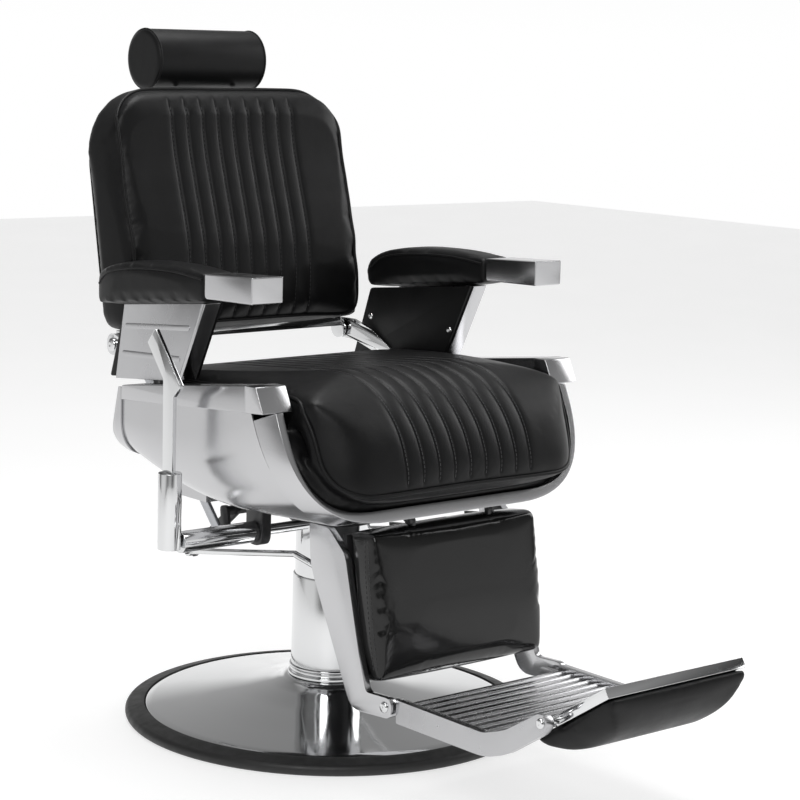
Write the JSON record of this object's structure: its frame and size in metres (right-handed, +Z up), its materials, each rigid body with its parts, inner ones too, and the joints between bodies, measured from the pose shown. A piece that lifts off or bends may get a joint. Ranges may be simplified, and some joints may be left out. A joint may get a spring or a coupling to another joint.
{
  "type": "hydraulic barber chair",
  "caption": "Reclining barber chair on a round pump base, with stitched black vinyl cushions, chrome tub, linked legrest, folding footplate, sliding head roll and side lever.",
  "frame": {"origin": "centre of the flat underside of the base, on the floor under the swivel axis", "axes": "+Z up, -Y the way the sitter faces, -X the sitter's right side, where the lever is"},
  "size_m": [0.741, 1.2875, 1.161],
  "materials": {
    "polished_chrome": "polished chrome plate",
    "cast_aluminium": "brightly polished cast aluminium",
    "plain_steel": "machined steel",
    "black_steel": "semi-gloss black paint",
    "cast_iron": "dark painted casting",
    "base_rubber": "matt black rubber edge ring",
    "black_vinyl": "satin black upholstery vinyl with fine grain",
    "patent_vinyl": "high-gloss black patent vinyl",
    "board": "dark plywood board"
  },
  "bodies": {
    "base": {"floor_plate": "cast_iron", "base_ring": "base_rubber", "base_dish": "polished_chrome", "base_collar": "polished_chrome", "pump_casing": "polished_chrome", "pump_foot": "cast_iron", "pump_cylinder": "plain_steel"},
    "ram": {"column_sleeve": "polished_chrome", "pump_ram": "polished_chrome", "swivel_hub": "cast_iron"},
    "seat": {"tub_side_right": "polished_chrome", "tub_side_left": "polished_chrome", "tub_floor": "polished_chrome", "rear_cover": "polished_chrome", "rail_right": "polished_chrome", "rail_left": "polished_chrome", "corner_cap_right": "polished_chrome", "corner_cap_left": "polished_chrome", "front_frame": "polished_chrome", "mounting_plate": "black_steel", "seat_frame": "black_steel", "seat_board": "board", "seat_cushion": "black_vinyl", "arm_panel_right": "cast_aluminium", "arm_panel_left": "cast_aluminium", "arm_strip_right": "polished_chrome", "arm_strip_left": "polished_chrome", "arm_liner_right": "black_vinyl", "arm_liner_left": "black_vinyl", "arm_pad_right": "black_vinyl", "arm_pad_left": "black_vinyl", "arm_cap_right": "polished_chrome", "arm_cap_left": "polished_chrome", "recline_bracket_right": "polished_chrome", "recline_bracket_left": "polished_chrome", "leg_hinge": "black_steel", "lever_bearing": "black_steel"},
    "backrest": {"back_cushion": "black_vinyl", "back_board": "black_vinyl", "back_crossbar": "polished_chrome"},
    "headrest": {"headrest_roll": "black_vinyl", "headrest_frame": "polished_chrome"},
    "rocker": {"rocker": "black_steel"},
    "drive_link": {"drive_link": "plain_steel"},
    "link_right": {"link_rod_right": "polished_chrome"},
    "link_left": {"link_rod_left": "polished_chrome"},
    "legrest": {"leg_arm_right": "polished_chrome", "leg_arm_left": "polished_chrome", "leg_pad": "patent_vinyl", "leg_board": "black_steel"},
    "footplate": {"foot_bar_right": "cast_aluminium", "foot_bar_left": "cast_aluminium", "foot_plate": "cast_aluminium"},
    "flap": {"flap_frame": "polished_chrome", "flap_panel": "cast_aluminium", "flap_pad": "black_vinyl"},
    "lever": {"lever_tube": "polished_chrome", "lever_socket": "polished_chrome", "lever_bar": "polished_chrome"}
  },
  "joints": [
    {"name": "lift", "type": "slide", "parent": "base", "child": "ram", "axis": [0, 0, 1], "range_m": [0, 0.15]},
    {"name": "swivel", "type": "hinge", "parent": "ram", "child": "seat", "pos_m": [0, 0, 0.4], "axis": [0, 0, 1], "continuous": true},
    {"name": "recline", "type": "hinge", "parent": "seat", "child": "backrest", "pos_m": [0, 0.3, 0.624], "axis": [-1, 0, 0], "range_deg": [0, 45]},
    {"name": "headrest_slide", "type": "slide", "parent": "backrest", "child": "headrest", "axis": [0, 0.1874, 0.9823], "range_m": [0, 0.09]},
    {"name": "rocker_pivot", "type": "hinge", "parent": "seat", "child": "rocker", "pos_m": [0, 0.07, 0.3645], "axis": [-1, 0, 0], "range_deg": [0, 64]},
    {"name": "drive_link_pivot", "type": "hinge", "parent": "backrest", "child": "drive_link", "pos_m": [0, 0.2816, 0.5684], "axis": [-1, 0, 0], "range_deg": [-48, 0]},
    {"name": "legrest_lift", "type": "hinge", "parent": "seat", "child": "legrest", "pos_m": [0, -0.301, 0.4045], "axis": [-1, 0, 0], "range_deg": [0, 64]},
    {"name": "link_right_pivot", "type": "hinge", "parent": "legrest", "child": "link_right", "pos_m": [0, -0.185, 0.312], "axis": [-1, 0, 0], "range_deg": [-64, 0]},
    {"name": "link_left_pivot", "type": "hinge", "parent": "legrest", "child": "link_left", "pos_m": [0, -0.185, 0.312], "axis": [-1, 0, 0], "range_deg": [-64, 0]},
    {"name": "footplate_fold", "type": "hinge", "parent": "legrest", "child": "footplate", "pos_m": [0, -0.372, 0.135], "axis": [-1, 0, 0], "range_deg": [0, 32]},
    {"name": "flap_turn", "type": "hinge", "parent": "footplate", "child": "flap", "pos_m": [0, -0.712, 0.194], "axis": [-1, 0, 0], "range_deg": [0, 140]},
    {"name": "lever_pump", "type": "hinge", "parent": "seat", "child": "lever", "pos_m": [0, -0.05, 0.355], "axis": [-1, 0, 0], "range_deg": [-18, 18]}
  ],
  "couplings": [
    {"joint": "legrest_lift", "follows": "recline", "ratio": 1.4},
    {"joint": "rocker_pivot", "follows": "recline", "ratio": 1.4},
    {"joint": "link_right_pivot", "follows": "recline", "ratio": -1.4},
    {"joint": "link_left_pivot", "follows": "recline", "ratio": -1.4},
    {"joint": "drive_link_pivot", "follows": "recline", "ratio": -1.05}
  ]
}
